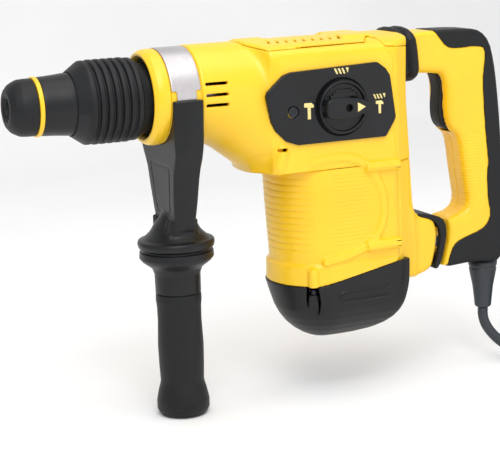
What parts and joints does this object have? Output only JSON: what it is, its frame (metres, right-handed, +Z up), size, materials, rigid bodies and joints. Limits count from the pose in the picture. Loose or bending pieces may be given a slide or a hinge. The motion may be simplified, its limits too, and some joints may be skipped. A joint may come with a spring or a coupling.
{
  "type": "combination hammer drill",
  "caption": "Corded combination and demolition hammer with a tool bore at the nose, a ribbed locking sleeve, a clamped side handle, an upright motor and a sprung rear D-handle.",
  "frame": {"origin": "mouth of the tool bore, on the spindle's axis", "axes": "+X from the nose to the rear handle, +Z up with the side handle hanging down, the mode selector on the -Y side"},
  "size_m": [0.6477, 0.1606, 0.322],
  "materials": {
    "yellow_plastic": "moulded, satin",
    "black_plastic": "moulded, satin",
    "rubber": "soft moulded",
    "bare_steel": "ground",
    "dark_steel": "oxidised",
    "alloy_band": "matt",
    "cast_alloy": "as cast",
    "copper_wire": "enamelled",
    "brass_parts": "stamped",
    "carbon": "pressed"
  },
  "bodies": {
    "housing": {"gear_housing": "yellow_plastic", "collar_ring": "yellow_plastic", "top_cover": "yellow_plastic", "motor_housing": "yellow_plastic", "rear_bracket": "yellow_plastic", "motor_end_cap": "black_plastic", "selector_panel": "black_plastic", "housing_screws": "dark_steel", "end_cap_screws": "dark_steel", "bearing_plate": "cast_alloy", "motor_flange": "cast_alloy", "spindle_front_bearing": "bare_steel", "spindle_rear_bearing": "bare_steel", "crank_bearing": "bare_steel", "armature_bearings": "bare_steel", "field_core": "dark_steel", "field_coils": "copper_wire", "brush_holders": "brass_parts", "carbon_brushes": "carbon", "neck_seal": "black_plastic", "pivot_pin": "bare_steel", "joint_gasket": "rubber", "handle_bellows": "rubber", "damper_spring": "bare_steel", "power_cord": "rubber", "cord_coil": "rubber", "cord_plug": "black_plastic", "cord_tie": "rubber"},
    "spindle": {"spindle": "bare_steel", "bevel_gear": "dark_steel", "nose_cap": "rubber", "nose_ring": "yellow_plastic", "front_sleeve": "black_plastic", "locking_rollers": "dark_steel", "lock_spring": "bare_steel"},
    "lock_sleeve": {"lock_sleeve": "black_plastic"},
    "piston": {"piston": "bare_steel"},
    "con_rod": {"con_rod": "dark_steel"},
    "ram": {"ram": "bare_steel"},
    "beat_piece": {"beat_piece": "dark_steel"},
    "armature": {"armature_shaft": "bare_steel", "armature_core": "copper_wire", "commutator": "brass_parts", "cooling_fan": "black_plastic"},
    "bevel_shaft": {"bevel_pinion": "dark_steel"},
    "crank": {"crank_gear": "dark_steel"},
    "selector": {"selector_knob": "black_plastic"},
    "side_handle": {"clamp_band": "alloy_band", "handle_yoke": "black_plastic", "tension_bolt": "bare_steel"},
    "side_grip": {"grip_collar": "black_plastic", "side_grip": "rubber"},
    "rear_handle": {"handle_shell_left": "yellow_plastic", "handle_shell_right": "yellow_plastic", "handle_overmould": "rubber", "handle_screws": "dark_steel", "switch_box": "black_plastic", "cord_boot": "rubber", "trigger_spring": "bare_steel"},
    "trigger": {"trigger": "rubber"}
  },
  "joints": [
    {"name": "armature_spin", "type": "hinge", "parent": "housing", "child": "armature", "pos_m": [0.273, 0, 0], "axis": [0, 0, 1], "continuous": true},
    {"name": "crank_spin", "type": "hinge", "parent": "housing", "child": "crank", "pos_m": [0.307, 0, 0], "axis": [0, 0, 1], "continuous": true},
    {"name": "bevel_shaft_spin", "type": "hinge", "parent": "housing", "child": "bevel_shaft", "pos_m": [0.255, 0, 0], "axis": [0, 0, 1], "continuous": true},
    {"name": "spindle_spin", "type": "hinge", "parent": "housing", "child": "spindle", "pos_m": [0, 0, 0], "axis": [1, 0, 0], "continuous": true},
    {"name": "lock_sleeve_slide", "type": "slide", "parent": "spindle", "child": "lock_sleeve", "axis": [1, 0, 0], "range_m": [0, 0.005], "stiffness_N_per_m": 800, "springref_m": -0.004, "deforming": ["lock_spring"]},
    {"name": "piston_slide", "type": "slide", "parent": "housing", "child": "piston", "axis": [-1, 0, 0], "range_m": [0, 0.03]},
    {"name": "con_rod_swing", "type": "hinge", "parent": "piston", "child": "con_rod", "pos_m": [0.262, 0, 0], "axis": [0, 0, 1], "range_deg": [-14.5, 14.5]},
    {"name": "ram_slide", "type": "slide", "parent": "spindle", "child": "ram", "axis": [1, 0, 0], "range_m": [0, 0.012]},
    {"name": "beat_piece_slide", "type": "slide", "parent": "spindle", "child": "beat_piece", "axis": [-1, 0, 0], "range_m": [0, 0.006]},
    {"name": "selector_turn", "type": "hinge", "parent": "housing", "child": "selector", "pos_m": [0.273, 0, -0.016], "axis": [0, -1, 0], "range_deg": [0, 180]},
    {"name": "side_handle_turn", "type": "hinge", "parent": "housing", "child": "side_handle", "pos_m": [0.1375, 0, 0], "axis": [1, 0, 0], "continuous": true},
    {"name": "side_grip_turn", "type": "hinge", "parent": "side_handle", "child": "side_grip", "pos_m": [0.1375, 0, -0.2], "axis": [0, 0, 1], "range_deg": [-180, 0]},
    {"name": "rear_handle_swing", "type": "hinge", "parent": "housing", "child": "rear_handle", "pos_m": [0.382, 0, -0.15], "axis": [0, -1, 0], "range_deg": [0, 2], "stiffness_Nm_per_rad": 400, "springref_deg": -1.15, "deforming": ["handle_bellows", "damper_spring", "joint_gasket"]},
    {"name": "trigger_squeeze", "type": "slide", "parent": "rear_handle", "child": "trigger", "axis": [1, 0, 0], "range_m": [0, 0.005], "stiffness_N_per_m": 2000, "springref_m": -0.002, "deforming": ["trigger_spring"]}
  ],
  "couplings": [
    {"joint": "crank_spin", "follows": "armature_spin", "ratio": -0.17241},
    {"joint": "bevel_shaft_spin", "follows": "armature_spin", "ratio": -0.38462},
    {"joint": "spindle_spin", "follows": "armature_spin", "ratio": 0.1049}
  ]
}
